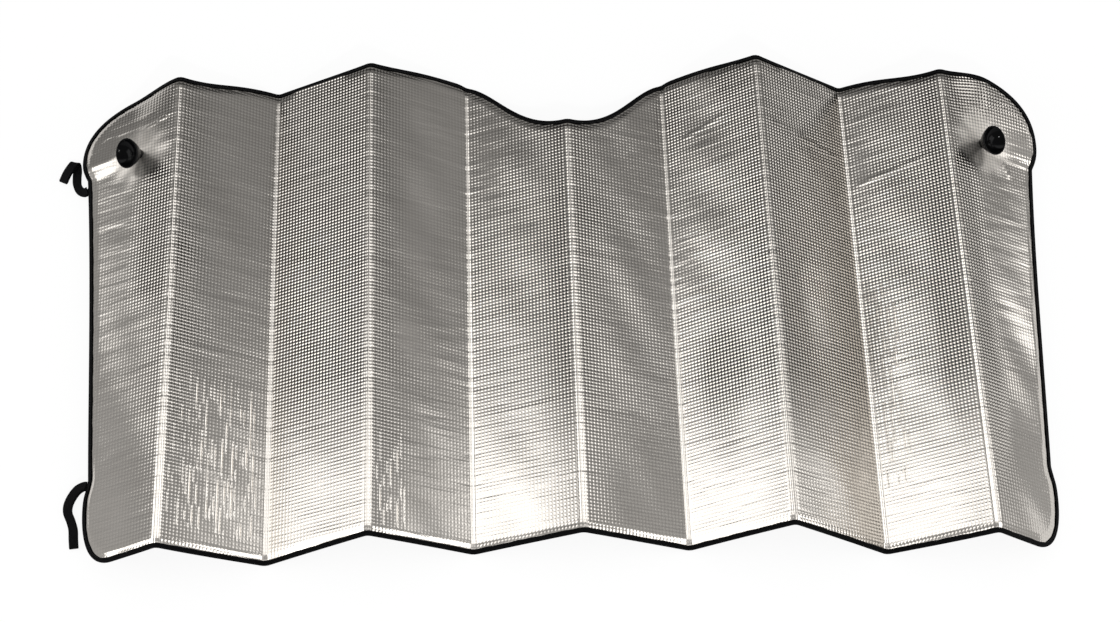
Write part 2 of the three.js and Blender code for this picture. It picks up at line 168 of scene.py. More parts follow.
def elastic_material():
    """Woven elastic: lengthwise cords 1 mm apart under fine cross threads, a dull polyester sheen."""
    material, tree = new_material("woven_elastic")
    place = node(tree, "ShaderNodeUVMap", uv_map="cloth")
    split = node(tree, "ShaderNodeSeparateXYZ", {"Vector": place}).outputs
    cords = node(tree, "ShaderNodeMath", {0: split["Y"], 1: 2 * math.pi / (1.0 * mm)}, operation="MULTIPLY")
    threads = node(tree, "ShaderNodeMath", {0: split["X"], 1: 2 * math.pi / (0.8 * mm)}, operation="MULTIPLY")
    weave = node(tree, "ShaderNodeMath", {
        0: node(tree, "ShaderNodeMath", {0: cords}, operation="SINE"),
        1: node(tree, "ShaderNodeMath", {0: threads}, operation="SINE")}, operation="ADD")
    bump = node(tree, "ShaderNodeBump", {"Height": weave, "Strength": 0.8, "Distance": 0.08 * mm})
    lint = node(tree, "ShaderNodeTexNoise", {"Vector": place, "Scale": 400, "Detail": 3})
    colour = node(tree, "ShaderNodeMix", {"Factor": lint, "A": linear("#040405"), "B": linear("#0e0e10")},
                  data_type="RGBA")
    shader = node(tree, "ShaderNodeBsdfPrincipled", {
        "Base Color": colour, "Roughness": 0.75, "Specular IOR Level": 0.12, "Normal": bump})
    node(tree, "ShaderNodeOutputMaterial", {"Surface": shader})
    return material


def elastic_tie(name, route, material):
    """Two strands, one over the other along a route and joined round its end.

    A rounded flat section is carried along them, with its width towards the route's bearing.
    """
    route = smooth_path(np.array(route) * [mm, mm, mm, 1], tie_step)
    middle = route[:, :3]
    bearing = np.radians(route[:, 3])
    tangent = unit(np.gradient(middle, axis=0))
    width = np.stack([np.cos(bearing), np.sin(bearing), 0 * bearing], axis=1)
    width = unit(width - (width * tangent).sum(1, keepdims=True) * tangent)
    sideways = np.cross(tangent, width)
    turn = np.linspace(0, np.pi, tie_end_parts + 1)[1:-1, None]
    round_end = -np.cos(turn) * sideways[-1] + np.sin(turn) * tangent[-1]
    centres = np.vstack([middle, np.repeat(middle[-1:], len(turn), axis=0), middle[::-1]])
    radial = np.vstack([-sideways, round_end, sideways[::-1]])
    across = np.vstack([width, np.repeat(width[-1:], len(turn), axis=0), width[::-1]])
    corner = np.linspace(-np.pi / 2, np.pi / 2, 5)
    half_t = tie_thickness / 2
    flat = tie_width / 2 - half_t
    edge = np.stack([half_t * np.cos(corner + np.pi / 2), flat + half_t * np.sin(corner + np.pi / 2)], axis=1)
    flats = np.linspace(flat, -flat, 8)[1:-1]
    section = np.vstack([edge, np.stack([np.full(6, -half_t), flats], axis=1),
                         -edge, np.stack([np.full(6, half_t), -flats], axis=1)])
    strand = tie_strand_spacing / 2
    points = (centres[:, None] + radial[:, None] * (strand + section[None, :, :1])
              + across[:, None] * section[None, :, 1:])
    rings, sides = points.shape[:2]
    faces = ring_faces(rings, sides)
    along = np.arange(rings) * tie_step
    round_it = np.r_[0, np.cumsum(np.linalg.norm(np.diff(section, axis=0), axis=1))]
    uv_of = np.stack(np.meshgrid(along, round_it, indexing="ij"), axis=-1).reshape(-1, 2)
    points = points.reshape(-1, 3)
    lids = []
    for ring, order in ((0, -1), (rings - 1, 1)):
        centre = len(points)
        first = ring * sides
        points = np.vstack([points, points[first:first + sides].mean(0)])
        uv_of = np.vstack([uv_of, uv_of[first]])
        around = first + np.arange(sides)
        ahead = first + (np.arange(sides) + 1) % sides
        pair = (around, ahead) if order > 0 else (ahead, around)
        lids.append(np.stack([np.full(sides, centre), *pair], axis=1))
    triangles = np.vstack([faces[:, [0, 1, 2]], faces[:, [0, 2, 3]], *lids])
    piece = new_piece(name, points, triangles, material, uv_of[triangles])
    path = centres + radial * strand
    length = np.linalg.norm(np.diff(path, axis=0), axis=1).sum()
    return piece, path, length


woven_elastic = elastic_material()
for end, route in tie_routes.items():
    tie, tie_path, tie_length = elastic_tie(f"tie_{end}", route, woven_elastic)
    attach(tie, "shade")
    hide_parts(f"elastic_tie_{end}")


# Foil sheet
# One blank of bubble laminate: two plastic films with air cells sealed between them. The upper film is
# metallised and embossed with a fine square grid, and nine heat-pressed creases make ten panels of it.
panel_width = 130
creases_per_side = 4
outer_crease = panel_width * creases_per_side
notch_half_width = 145
notch_depth = 84
hump_top = 608
hump_flat = 599
hump_flat_start = 290
hump_flat_end = 375
shoulder_level = 579
ear_reach = 134
ear_widest_level = 505
neck_reach = 125
neck_level = 475
ankle_reach = 99
ankle_level = 83
foot_reach = 105
foot_widest_level = 50
foot_flat = 62
foot_level = -20
lower_edge_level = -4
sheet_half = 3.2 / 2
pressed_half = 1.5 / 2
pressed_to = 3
full_from = 12
crease_bend = 8
crease_band = 11
ridge_centre = 53
ridge_heights = {-1: (63, 68), 1: (71, 67)}
end_slopes = {-1: (34, 29.3), 1: (38.2, 29)}
ear_crease_depth = (101, 109)
ear_band_width = 16
ear_band_rise = {-1: 0.2, 1: 0.26}
ear_rise = {-1: -0.21, 1: 0.155}
ear_bend = 8


def bezier(points, step=1.5):
    """Even points along a cubic Bezier curve, in the plane of the blank."""
    a, b, c, d = np.array(points, float)
    t = np.linspace(0, 1, 200)[:, None]
    dense = (1 - t) ** 3 * a + 3 * (1 - t) ** 2 * t * b + 3 * (1 - t) * t**2 * c + t**3 * d
    run = np.r_[0, np.cumsum(np.linalg.norm(np.diff(dense, axis=0), axis=1))]
    even = np.linspace(0, run[-1], max(2, round(run[-1] / step)) + 1)
    return np.stack([np.interp(even, run, dense[:, k]) for k in range(2)], axis=1)


def outline_stretches():
    """The right half of the blank's outline, from the middle of the notch round to the lower edge."""
    oc = outer_crease
    notch_floor = hump_top - notch_depth
    hump_middle = (notch_half_width + hump_flat_start) / 2
    side = neck_level - ankle_level
    ear = shoulder_level - ear_widest_level
    foot = foot_widest_level - foot_level
    neck = (oc + neck_reach, neck_level)
    ankle = (oc + ankle_reach, ankle_level)
    turn_level = (ankle_level + foot_widest_level) / 2
    return [bezier(c) for c in (
        [(0, notch_floor), (notch_half_width * 0.49, notch_floor), (notch_half_width * 0.68, hump_top),
         (notch_half_width, hump_top)],
        [(notch_half_width, hump_top), (hump_middle, hump_top), (hump_middle, hump_flat),
         (hump_flat_start, hump_flat)],
        [(hump_flat_end, hump_flat), ((hump_flat_end + oc) / 2, hump_flat), (oc * 0.9, shoulder_level),
         (oc, shoulder_level)],
        [(oc, shoulder_level), (oc + ear_reach * 0.7, shoulder_level),
         (oc + ear_reach, ear_widest_level + ear * 0.65), (oc + ear_reach, ear_widest_level)],
        [(oc + ear_reach, ear_widest_level), (oc + ear_reach, (ear_widest_level + neck_level) / 2),
         (oc + (ear_reach + neck_reach) / 2, neck_level + (ear_widest_level - neck_level) * 0.3), neck],
        [neck, (oc + neck_reach - 13, neck_level - side / 3), (oc + ankle_reach + 7, ankle_level + side / 4),
         ankle],
        [ankle, (oc + (ankle_reach + foot_reach) / 2, turn_level), (oc + foot_reach, turn_level),
         (oc + foot_reach, foot_widest_level)],
        [(oc + foot_reach, foot_widest_level), (oc + foot_reach, foot_widest_level - foot * 0.56),
         (oc + foot_flat + (foot_reach - foot_flat) * 0.7, foot_level), (oc + foot_flat, foot_level)],
        [(oc + foot_flat, foot_level), (oc * 0.77, foot_level), (oc * 0.7, lower_edge_level),
         (0, lower_edge_level)],
    )]


def panel_slope(side, index, v):
    """Slope of a panel in radians, counted outwards. The end panel twists from foot to ear."""
    if index == creases_per_side:
        foot, ear = end_slopes[side]
        return -np.radians(foot + (ear - foot) * v / ear_widest_level)
    inner_ridge, outer_ridge = ridge_heights[side]
    heights = (ridge_centre, 0, inner_ridge, 0, outer_ridge)
    return np.arcsin((heights[index + 1] - heights[index]) / (panel_width - crease_bend / 2)) + 0 * v


def past_bend(length):
    """Length past the start of a soft crease: x^2 / 2b over its bend b, then x - b / 2."""
    bent = np.maximum(length, 0) ** 2 / (2 * ear_bend)
    return np.where(length < ear_bend, bent, length - ear_bend / 2)


def middle_surface(u, v):
    """The folded sheet over the blank's point (u, v): a walk outwards from the centre crease.

    Half a bend, a flat panel and half a bend again, until the length |u| is used up. On the end panels
    the lift of the soft double crease at the cup, and of the ear above it, is added.
    """
    u, v = np.broadcast_arrays(np.asarray(u, float), np.asarray(v, float))
    result = np.zeros(u.shape + (3,))
    for side in (-1, 1):
        here = u < 0 if side < 0 else u >= 0
        level = v[here]
        left = np.abs(u[here])
        reach = left - outer_crease
        out, slope = np.zeros_like(left), np.zeros_like(left)
        up = np.full_like(left, ridge_centre)
        for index in range(creases_per_side + 1):
            here_slope = panel_slope(side, index, level)
            last = index == creases_per_side
            stretches = [(crease_bend / 2, here_slope)]
            stretches.append((2 * panel_width if last else panel_width - crease_bend, here_slope))
            if not last:
                stretches.append((crease_bend / 2, (here_slope + panel_slope(side, index + 1, level)) / 2))
            for length, target in stretches:
                used = np.clip(left, 0, length)
                turn = (target - slope) * used / length
                chord = used * np.sinc(turn / (2 * np.pi))
                out += chord * np.cos(slope + turn / 2)
                up += chord * np.sin(slope + turn / 2)
                slope = slope + turn
                left = left - used
        inner, outer = ear_crease_depth
        start = shoulder_level - inner - (outer - inner) * reach / ear_reach
        lift = ear_band_rise[side] * past_bend(level - start)
        lift += (ear_rise[side] - ear_band_rise[side]) * past_bend(level - start - ear_band_width)
        share = np.clip(reach / (ear_reach / 2), 0, 1)
        lift *= share**2 * (3 - 2 * share)
        result[here] = np.stack([side * out, level, up + lift], axis=-1)
    return result


def sheet_normal(u, v):
    """Upward normal of the middle surface, from its two slopes."""
    e = 0.01
    across = middle_surface(u + e, v) - middle_surface(u - e, v)
    along = middle_surface(u, v + e) - middle_surface(u, v - e)
    return unit(np.cross(across, along))


# The origin lies under the middle of the sheet, so the fold is moved there.
stretches = outline_stretches()
half_outline = np.vstack([s[:-1] for s in stretches] + [stretches[-1][-1:]])
whole_outline = np.vstack([half_outline[::-1], (half_outline * [-1, 1])[1:-1]])
rim = middle_surface(whole_outline[:, 0], whole_outline[:, 1])
pleat_line = middle_surface(np.linspace(-outer_crease, outer_crease, 2081), 300.0)
sheet_low, sheet_high = (np.array(corner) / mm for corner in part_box("foil_sheet"))
fold_shift = (sheet_low + sheet_high) / 2 - (rim.min(0) + rim.max(0)) / 2
fold_shift[2] = sheet_low[2] - (pleat_line[:, 2].min() - sheet_half)


def folded(u, v, w=0.0):
    """Point in metres over the blank's point (u, v), at height w from the middle surface."""
    w = np.asarray(w, float)
    offset = sheet_normal(u, v) * (w[..., None] if w.ndim else w)
    return (middle_surface(u, v) + offset + fold_shift) * mm


band_columns = 8
panel_columns = 36
end_columns = 36
sheet_rows = 200
back_share = 4
ear_corner_share = 0.62
foot_corner_share = 0.5


def film_grid():
    """Grid of places on the blank, columns by rows.

    Between the outer creases a column is straight, from the lower outline to the upper one. Each end
    panel is a patch blended from its four sides, with its outer side from foot to ear.
    """
    top = np.vstack(stretches[:3])
    bottom = stretches[8][::-1]
    band = crease_band / 2
    columns = []
    for crease in range(-creases_per_side, creases_per_side + 1):
        centre = crease * panel_width
        columns.append(centre + np.linspace(-band, band, band_columns + 1)[:-1])
        if crease < creases_per_side:
            columns.append(np.linspace(centre + band, centre + panel_width - band, panel_columns + 1)[:-1])
    columns = np.r_[np.concatenate(columns), outer_crease + band]
    rise = np.linspace(0, 1, sheet_rows + 1)
    ear_top = stretches[3]
    low = np.interp(np.abs(columns), bottom[:, 0], bottom[:, 1])
    high = np.interp(np.abs(columns), np.r_[top[:, 0], ear_top[1:, 0]], np.r_[top[:, 1], ear_top[1:, 1]])
    inner = np.stack([np.repeat(columns[:, None], len(rise), 1),
                      low[:, None] + (high - low)[:, None] * rise], axis=-1)
    start = outer_crease + band
    ear_corner = int(len(ear_top) * ear_corner_share)
    foot = stretches[7]
    foot_corner = int(len(foot) * foot_corner_share)
    above = ear_top[:ear_corner + 1]
    above = np.vstack([[start, high[-1]], above[above[:, 0] > start + 0.5]])
    beside = np.vstack([ear_top[ear_corner:], stretches[4], stretches[5], stretches[6],
                        foot[:foot_corner + 1]])[::-1]
    below = np.vstack([foot[foot_corner:], stretches[8]])
    below = np.vstack([below[below[:, 0] > start + 0.5], [start, low[-1]]])[::-1]
    s = np.linspace(0, 1, end_columns + 1)

    def along(curve, t):
        run = np.r_[0, np.cumsum(np.linalg.norm(np.diff(curve, axis=0), axis=1))]
        keep = np.r_[True, np.diff(run) > 1e-9]
        return np.stack([np.interp(t * run[-1], run[keep], curve[keep, k]) for k in range(2)], axis=-1)

    up, down, out = along(above, s), along(below, s), along(beside, rise)
    inward = np.stack([np.full(len(rise), start), low[-1] + (high[-1] - low[-1]) * rise], axis=-1)
    s, t = s[:, None, None], rise[None, :, None]
    patch = ((1 - t) * down[:, None] + t * up[:, None] + (1 - s) * inward[None] + s * out[None]
             - (1 - s) * (1 - t) * down[0] - s * (1 - t) * down[-1] - (1 - s) * t * up[0] - s * t * up[-1])
    return np.concatenate([patch[:0:-1] * [-1, 1], inner, patch[1:]])


def edge_distance(places):
    """Distance in the plane of the blank from each place to the outline, one column at a time."""
    return np.array([np.sqrt(((column[:, None] - whole_outline[None]) ** 2).sum(-1).min(1))
                     for column in places])


cup_place = (49, 488)
slack_wave = 0.09
wrinkles_per_panel = 24
wrinkle_heights = (0.03, 0.13)
pucker_height = 0.3
puckers_per_cup = 9
crease_ripple = 0.03
sharp_wrinkles = [
    ((-630, 524), (-565, 522), 1.6, 0.9),
    ((-572, 521), (-528, 532), 1.6, 0.8),
    ((-623, 537), (-552, 542), 1.4, 0.7),
    ((-640, 512), (-598, 511), 1.6, 0.4),
    ((590, 484), (600, 469), 1.5, 0.6),
    ((598, 472), (609, 452), 1.5, 0.6),
    ((538, 494), (566, 491), 1.5, 0.5),
    ((536, 540), (575, 530), 1.5, 0.45),
    ((150, 518), (215, 533), 1.5, 0.4),
    ((262, 515), (385, 492), 1.6, 0.5),
    ((395, 455), (515, 470), 1.6, 0.35),
]


def film_relief(u, v):
    """Height of the film's wrinkles in millimetres over the blank's point (u, v).

    Slack panels: slow waves that die out at the creases. Handling: long low wrinkles across the panels,
    each a bell curve over v with its own level, length and lean. Listed: sharp wrinkles from one place
    to another, most of them near a cup. Cups: radial puckers round each hole. Creases: short ripples
    beside the bend.
    """
    rng = np.random.default_rng(7)
    place = u / panel_width
    nearest = np.abs(place - np.round(place)) * panel_width
    panel = np.floor(place)
    slack = np.sin(np.pi * (place - panel)) ** 2
    height = np.zeros_like(u)
    for _ in range(5):
        phase = rng.uniform(0, 2 * np.pi, 12)[(panel + 6).astype(int)]
        long_wave = rng.uniform(70, 190)
        cross_wave = rng.uniform(80, 160)
        height += slack_wave * slack * np.sin(2 * np.pi * (v / long_wave + u / cross_wave) + phase)
    for index in range(-5, 5):
        centre = (index + 0.5) * panel_width
        for _ in range(wrinkles_per_panel):
            level = rng.uniform(0, 590)
            at = centre + rng.uniform(-40, 40)
            reach = rng.uniform(25, 70)
            lean = rng.normal(0.03, 0.03)
            spread = rng.uniform(1.4, 2.6)
            amount = rng.uniform(*wrinkle_heights) * rng.choice([-1, 1])
            near = np.abs(u - at) < reach
            du = u[near] - at
            aside = (v[near] - level - lean * du) / spread
            height[near] += amount * np.exp(-(aside**2)) * np.cos(du / reach * np.pi / 2) ** 2
    for (u0, v0), (u1, v1), spread, amount in sharp_wrinkles:
        length = math.hypot(u1 - u0, v1 - v0)
        along = ((u - u0) * (u1 - u0) + (v - v0) * (v1 - v0)) / length**2
        aside = ((v - v0) * (u1 - u0) - (u - u0) * (v1 - v0)) / length
        inside = np.clip(1 - np.abs(2 * along - 1), 0, 0.3) / 0.3
        height += amount * inside * np.exp(-((aside / spread) ** 2))
    for side in (-1, 1):
        across, up = u - side * (outer_crease + cup_place[0]), v - cup_place[1]
        distance, turn = np.hypot(across, up), np.arctan2(up, across)
        puckers = np.cos(puckers_per_cup * turn + side)
        height += pucker_height * puckers * np.exp(-(((distance - 26) / 14) ** 2))
    ripple = np.zeros_like(u)
    for wave in (6.5, 8.7, 12.1, 17.0):
        phase = rng.uniform(0, 2 * np.pi, 12)[(np.round(place) + 6).astype(int)]
        ripple += np.sin(2 * np.pi * v / wave + phase)
    ends = np.abs(u) > outer_crease + crease_band
    height += crease_ripple * ripple * np.exp(-((nearest / 11) ** 2)) * ~(ends & (nearest > 20))
    return height


panel_emboss = (0.16, 0.32, 0.9, 0.25, 0.6, 0.4, 0.6, 1.0, 0.7, 0.25)
ridge_emboss = 0.45
emboss_patches = 40
strong_zones = [
    (-1, 270, 480, -2, 62, 0.8),
    (-1, 520, 640, 0, 200, 0.4),
    (1, 505, 640, 0, 200, 0.8),
    (1, 20, 480, -2, 45, 0.6),
]


def emboss_share(u, v):
    """How strongly the embossed cells stand up over (u, v), from 0 where the film is pulled flat to 1.

    Each panel has its own share. More is added beside the ridge creases and in the listed zones of the
    end panels, and random ovals get more or less. Lower down and in the creases the film is flatter.
    """
    rng = np.random.default_rng(21)
    place = np.abs(u) / panel_width
    nearest = np.abs(place - np.round(place)) * panel_width
    from_ridge = np.abs((place + 1) % 2 - 1) * panel_width
    centres = (np.arange(-5, 5) + 0.5) * panel_width
    share = np.interp(u, np.r_[-700, np.repeat(centres, 2) + np.tile([-57, 57], 10), 700],
                      np.repeat(np.r_[panel_emboss[0], panel_emboss, panel_emboss[-1]], [1, *[2] * 10, 1]))
    share += ridge_emboss * np.exp(-((from_ridge / 34) ** 2))
    for side, low, high, inner, outer, amount in strong_zones:
        reach = side * u - outer_crease
        rise = np.clip((v - low) / 40, 0, 1) * np.clip((high - v) / 40, 0, 1)
        share += amount * rise * np.clip((reach - inner) / 12, 0, 1) * np.clip((outer - reach) / 25, 0, 1)
    for _ in range(emboss_patches):
        at = rng.uniform(-520, 520)
        level = rng.uniform(0, 590)
        wide, tall = rng.uniform(12, 34), rng.uniform(22, 95)
        amount = rng.uniform(-0.35, 0.6)
        share += amount * np.exp(-(((u - at) / wide) ** 2) - ((v - level) / tall) ** 2)
    share = np.clip(share, 0.14, 1) * (1 - 0.5 * np.clip((190 - v) / 130, 0, 1))
    in_crease = (np.abs(u) < outer_crease + crease_band) & (nearest < 6)
    return np.where(in_crease, share * np.clip((nearest - 1) / 5, 0.5, 1), share)


dash_zones = [(-515, -400, 5, 200), (-256, -212, 5, 125), (394, 436, 60, 330)]


def dash_share(u, v):
    """Where, from 0 to 1, cells of a column have run together into upright dashes."""
    share = np.zeros_like(u)
    for left, right, low, high in dash_zones:
        share += (np.clip((u - left) / 10, 0, 1) * np.clip((right - u) / 10, 0, 1)
                  * np.clip((v - low) / 12, 0, 1) * np.clip((high - v) / 30, 0, 1))
    return np.clip(share, 0, 1)


rubbed_reach = 38
rubbed_roughness = 0.42


def rubbed_share(u, v):
    """Film made dull round each cup, which softens the cup's mirror image. The photograph doesn't show it.

    A bell curve over the distance to the cup's hole.
    """
    distance = np.hypot(np.abs(u) - outer_crease - cup_place[0], v - cup_place[1])
    return np.exp(-((distance / rubbed_reach) ** 4))


grid_pitch = 4.2
bubble_pitch = 10.4
cell_height = 0.2
bubble_height = 0.8
crinkle_height = 0.3
fine_crinkle_height = 0.04
crest_height = 0.4
dash_height = 0.45


def film_material(name, front):
    """Metallised polyethylene film: thin aluminium under clear plastic, so a warm grey mirror.

    The embossed grid is 4.2 mm square and its cells bulge, most where the mesh says so, and the grooves
    between them are darkened in the base colour as painted shade. The film is finely crinkled, mostly in
    lines across the panels, its folds have a narrow crest, and dashes and dull places come where the mesh
    says so.
    """
    material, tree = new_material(name)
    place = node(tree, "ShaderNodeUVMap", uv_map="cloth")
    pitch = grid_pitch if front else bubble_pitch
    depth = cell_height if front else bubble_height
    cells = node(tree, "ShaderNodeVectorMath", {0: place, 1: [1 / (pitch * mm)] * 3}, operation="MULTIPLY")
    cells = node(tree, "ShaderNodeVectorMath", {0: cells}, operation="FRACTION")
    cells = node(tree, "ShaderNodeVectorMath", {0: cells, 1: [0.5, 0.5, 0]}, operation="DISTANCE")
    bulge = node(tree, "ShaderNodeMapRange", {"Value": cells, "From Min": 0.56, "From Max": 0},
                 interpolation_type="SMOOTHSTEP")
    stands = node(tree, "ShaderNodeAttribute", attribute_name="emboss").outputs["Fac"] if front else 1.0
    bulge = node(tree, "ShaderNodeMath", {0: bulge, 1: stands}, operation="MULTIPLY")
    # Painted shade: a mask for the grooves between the cells, as strong as the cells stand up.
    groove_painted_shade = node(tree, "ShaderNodeMapRange", {"Value": cells, "From Min": 0.34, "From Max": 0.52},
                  interpolation_type="SMOOTHSTEP")
    groove_painted_shade = node(tree, "ShaderNodeMath", {0: groove_painted_shade, 1: stands}, operation="MULTIPLY")
    stretch = node(tree, "ShaderNodeMapping", {"Vector": place, "Scale": (8, 60, 1)})
    crinkle = node(tree, "ShaderNodeTexNoise", {"Vector": stretch, "Scale": 1, "Detail": 3, "Roughness": 0.5,
                                                "Distortion": 0.4})
    fine = node(tree, "ShaderNodeTexNoise", {"Vector": place, "Scale": 240, "Detail": 3, "Roughness": 0.6})
    first = node(tree, "ShaderNodeBump", {"Height": bulge, "Strength": 1, "Distance": depth * mm})
    second = node(tree, "ShaderNodeBump", {"Height": crinkle, "Strength": 1, "Distance": crinkle_height * mm,
                                           "Normal": first})
    third = node(tree, "ShaderNodeBump", {"Height": fine, "Strength": 1, "Distance": fine_crinkle_height * mm,
                                          "Normal": second})
    across = node(tree, "ShaderNodeSeparateXYZ", {"Vector": place}).outputs["X"]
    crest = node(tree, "ShaderNodeMath", {0: across, 1: panel_width / 2 * mm}, operation="PINGPONG")
    crest = node(tree, "ShaderNodeMapRange", {"Value": crest, "From Min": 1.5 * mm, "From Max": 0},
                 interpolation_type="SMOOTHSTEP")
    crest = node(tree, "ShaderNodeBump", {"Height": crest, "Strength": 1, "Distance": crest_height * mm,
                                          "Normal": third})
    upwards = node(tree, "ShaderNodeSeparateXYZ", {"Vector": place}).outputs["Y"]
    column = node(tree, "ShaderNodeMath", {0: across, 1: 1 / (pitch * mm)}, operation="MULTIPLY")
    number = node(tree, "ShaderNodeMath", {0: column}, operation="FLOOR")
    lanes = node(tree, "ShaderNodeCombineXYZ", {
        "X": node(tree, "ShaderNodeMath", {0: number, 1: 7.3}, operation="MULTIPLY"),
        "Y": node(tree, "ShaderNodeMath", {0: upwards, 1: 24}, operation="MULTIPLY")})
    dashes = node(tree, "ShaderNodeTexNoise", {"Vector": lanes, "Scale": 1, "Detail": 1})
    dashes = node(tree, "ShaderNodeMapRange", {"Value": dashes, "From Min": 0.5, "From Max": 0.74})
    zones = node(tree, "ShaderNodeAttribute", attribute_name="dashes").outputs["Fac"]
    dashes = node(tree, "ShaderNodeMath", {0: dashes, 1: zones}, operation="MULTIPLY")
    bar = node(tree, "ShaderNodeMath", {0: column, 1: 0.5}, operation="PINGPONG")
    bar = node(tree, "ShaderNodeMapRange", {"Value": bar, "From Min": 0.25, "From Max": 0.5},
               interpolation_type="SMOOTHSTEP")
    bar = node(tree, "ShaderNodeMath", {0: bar, 1: dashes}, operation="MULTIPLY")
    bar = node(tree, "ShaderNodeBump", {"Height": bar, "Strength": 1, "Distance": dash_height * mm,
                                        "Normal": crest})
    tone = node(tree, "ShaderNodeTexNoise", {"Vector": place, "Scale": 14, "Detail": 5, "Roughness": 0.6})
    film = node(tree, "ShaderNodeMix", {"Factor": tone, "A": linear("#dcd6ce"), "B": linear("#eae5de")},
                data_type="RGBA")
    # Painted shade: the grooves are mixed towards a dark brown-grey in the base colour, on both films.
    colour = node(tree, "ShaderNodeMix", {"Factor": groove_painted_shade, "A": film, "B": linear("#2a2724")},
                  data_type="RGBA")
    rough = node(tree, "ShaderNodeMapRange", {"Value": tone, "To Min": 0.05, "To Max": 0.1})
    rubbed = node(tree, "ShaderNodeAttribute", attribute_name="rubbed").outputs["Fac"]
    rubbed = node(tree, "ShaderNodeMath", {0: rubbed, 1: rubbed_roughness}, operation="MULTIPLY")
    rough = node(tree, "ShaderNodeMath", {0: rough, 1: rubbed}, operation="ADD")
    shader = node(tree, "ShaderNodeBsdfPrincipled", {
        "Base Color": colour, "Metallic": 1.0, "Roughness": rough, "Normal": bar})
    node(tree, "ShaderNodeOutputMaterial", {"Surface": shader})
    return material


def foil_sheet():
    """A fine grid for the upper film and a coarse one for the lower, joined all round at the edge."""
    grid = film_grid()
    u, v = grid[..., 0], grid[..., 1]
    inside = edge_distance(grid)
    share = np.clip((inside - pressed_to) / (full_from - pressed_to), 0, 1)
    share = share * share * (3 - 2 * share)
    half = pressed_half + (sheet_half - pressed_half) * share
    upper = folded(u, v, half + share * film_relief(u, v))
    coarse = (slice(None, None, back_share), slice(None, None, back_share))
    lower = folded(u[coarse], v[coarse], -half[coarse])
    columns, rows = u.shape
    index = np.arange(columns * rows).reshape(columns, rows)
    below = np.arange(lower[..., 0].size).reshape(lower.shape[:2]) + index.size

    def quads(i):
        return np.stack([i[:-1, :-1], i[1:, :-1], i[1:, 1:], i[:-1, 1:]], axis=-1).reshape(-1, 4)

    def loop(i):
        return np.r_[i[:-1, 0], i[-1, :-1], i[:0:-1, -1], i[0, :0:-1]]

    front = quads(index)
    back = quads(below)[:, ::-1]
    fine, rough = loop(index), loop(below)
    step = np.arange(len(fine))
    near = rough[(step + back_share // 2) // back_share % len(rough)]
    fan = np.stack([fine, near, np.roll(fine, -1)], axis=1)
    last = np.arange(len(rough))
    turn = fine[(last * back_share + back_share // 2) % len(fine)]
    closing = np.stack([rough, np.roll(rough, -1), turn], axis=1)
    triangles = np.vstack([front[:, [0, 1, 2]], front[:, [0, 2, 3]], back[:, [0, 1, 2]], back[:, [0, 2, 3]],
                           fan, closing])
    places = np.vstack([grid.reshape(-1, 2), grid[coarse].reshape(-1, 2)]) * mm
    points = np.vstack([upper.reshape(-1, 3), lower.reshape(-1, 3)])
    piece = new_piece("foil", points, triangles, film_material("embossed_foil_film", True), places[triangles])
    # The emboss share also sets how strong the painted groove shade is.
    for attribute, values in (("emboss", emboss_share(u, v)), ("dashes", dash_share(u, v)),
                              ("rubbed", rubbed_share(u, v))):
        shares = piece.data.attributes.new(attribute, "FLOAT", "POINT")
        shares.data.foreach_set("value", np.r_[values.ravel(), np.zeros(lower[..., 0].size)])
    piece.data.materials.append(film_material("foil_film_back", False))
    is_back = np.zeros(len(triangles), dtype=np.int32)
    is_back[2 * len(front):2 * (len(front) + len(back))] = 1
    piece.data.polygons.foreach_set("material_index", is_back)
    return piece


foil = foil_sheet()
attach(foil, "shade")
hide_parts("foil_sheet")


# Edge binding
# One black woven polyester tape, folded over the pressed edge all the way round and lockstitched through
# both legs close to their inner borders.
tape_leg = 3.9
tape_half = sheet_half + 0.25
tape_thickness = 0.5
tape_step = 3.0
stitch_inset = 2.9
stitch_length = 2.6
stitch_pitch = 3.4
stitch_width = 0.7


def even_outline(step):
    """Even places round the outline, with the inward direction at each."""
    closed = np.vstack([whole_outline, whole_outline[:1]])
    run = np.r_[0, np.cumsum(np.linalg.norm(np.diff(closed, axis=0), axis=1))]
    count = round(run[-1] / step)
    even = np.arange(count) * run[-1] / count
    places = np.stack([np.interp(even, run, closed[:, k]) for k in range(2)], axis=1)
    ahead = unit(np.roll(places, -1, 0) - np.roll(places, 1, 0))
    return places, np.stack([-ahead[:, 1], ahead[:, 0]], axis=1), even


def tape_material():
    """Woven polyester tape: fine cross ribs about 1 mm apart, black, with a faint sheen."""
    material, tree = new_material("woven_polyester_tape")
    place = node(tree, "ShaderNodeUVMap", uv_map="cloth")
    split = node(tree, "ShaderNodeSeparateXYZ", {"Vector": place}).outputs
    ribs = node(tree, "ShaderNodeMath", {0: split["X"], 1: 2 * math.pi / (1.1 * mm)}, operation="MULTIPLY")
    warp = node(tree, "ShaderNodeMath", {0: split["Y"], 1: 2 * math.pi / (0.7 * mm)}, operation="MULTIPLY")
    weave = node(tree, "ShaderNodeMath", {
        0: node(tree, "ShaderNodeMath", {0: ribs}, operation="SINE"),
        1: node(tree, "ShaderNodeMath", {0: warp}, operation="SINE")}, operation="ADD")
    slub = node(tree, "ShaderNodeTexNoise", {"Vector": place, "Scale": 120, "Detail": 4})
    bump = node(tree, "ShaderNodeBump", {"Height": weave, "Strength": 0.7, "Distance": 0.1 * mm})
    puff = node(tree, "ShaderNodeBump", {"Height": slub, "Strength": 0.6, "Distance": 0.5 * mm,
                                         "Normal": bump})
    colour = node(tree, "ShaderNodeMix", {"Factor": slub, "A": linear("#010102"), "B": linear("#0a0a0c")},
                  data_type="RGBA")
    shader = node(tree, "ShaderNodeBsdfPrincipled", {
        "Base Color": colour, "Roughness": 0.7, "Specular IOR Level": 0.08, "Normal": puff})
    node(tree, "ShaderNodeOutputMaterial", {"Surface": shader})
    return material


